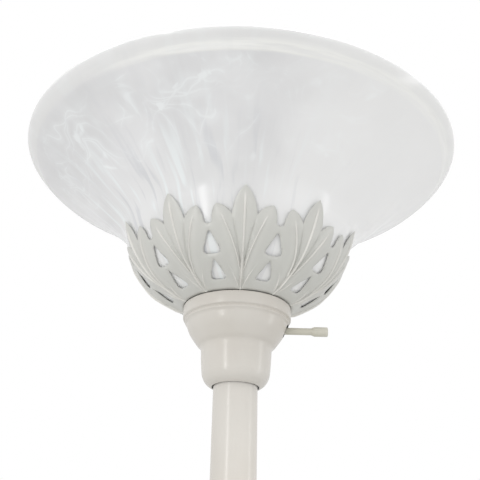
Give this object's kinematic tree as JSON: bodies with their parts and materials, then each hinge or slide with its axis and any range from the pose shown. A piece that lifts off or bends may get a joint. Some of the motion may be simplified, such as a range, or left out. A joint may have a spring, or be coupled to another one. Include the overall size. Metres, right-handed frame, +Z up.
{
  "type": "torchiere floor lamp",
  "caption": "Torchiere floor lamp: glass bowl opening upwards in a cast leaf gallery, rotary switch on the cup, plain jointed pole and weighted round base.",
  "frame": {"origin": "on the floor, at the foot of the pole's axis", "axes": "+Z up along the pole; the rotary switch points along +X; the cord inlet is at the back, +Y; the front is -Y"},
  "size_m": [0.3619, 0.362, 1.8055],
  "materials": {
    "painted_steel": "satin powder coat, warm white",
    "painted_casting": "satin paint over a cast surface, cool grey white",
    "alabaster_glass": "glossy pressed glass with white marbling",
    "cream_plastic": "satin moulded",
    "cast_iron": "rough as cast",
    "zinc_steel": "zinc plated",
    "brass": "bright turned",
    "pad_foam": "matte foam sheet",
    "silicone": "satin silicone sheet",
    "phenolic": "moulded phenolic",
    "white_plastic": "moulded",
    "bulb_diffuser": "frosted",
    "nickel": "nickel plated",
    "black_glass": "fused insulator",
    "cord_pvc": "extruded PVC"
  },
  "bodies": {
    "lamp": {"base_pad": "pad_foam", "base_plate": "zinc_steel", "plate_screws": "zinc_steel", "base_weight": "cast_iron", "base_cover": "painted_steel", "inlet_bushing": "white_plastic", "base_nipple": "brass", "base_lock_washer": "zinc_steel", "base_nut": "brass", "foot_collar": "painted_steel", "pole_lower": "painted_steel", "pole_middle": "painted_steel", "pole_upper": "painted_steel", "pole_plugs": "zinc_steel", "joint_ring_lower": "painted_steel", "joint_ring_upper": "painted_steel", "joint_nipples": "brass", "socket_cup": "painted_steel", "head_nipple": "brass", "head_washer": "zinc_steel", "head_nut": "brass", "leaf_gallery": "painted_casting", "shade_gasket": "silicone", "glass_shade": "alabaster_glass", "shade_ring": "white_plastic", "socket_cap": "brass", "switch_body": "phenolic", "terminal_screws": "brass", "socket_sleeve": "white_plastic", "screw_shell": "brass", "centre_contact": "brass", "ring_contact": "brass", "supply_lead": "cord_pvc", "socket_leads": "cord_pvc"},
    "switch": {"switch_stem": "cream_plastic", "switch_cam": "white_plastic", "switch_knob": "cream_plastic"},
    "bulb": {"bulb_globe": "bulb_diffuser", "bulb_housing": "white_plastic", "bulb_screw_cap": "nickel", "bulb_insulator": "black_glass", "bulb_tip": "nickel"}
  },
  "joints": [
    {"name": "switch_turn", "type": "hinge", "parent": "lamp", "child": "switch", "pos_m": [0.06, 0, 1.6554], "axis": [1, 0, 0], "continuous": true},
    {"name": "bulb_lift", "type": "slide", "parent": "lamp", "child": "bulb", "axis": [0, 0, 1], "range_m": [0, 0.15]}
  ]
}
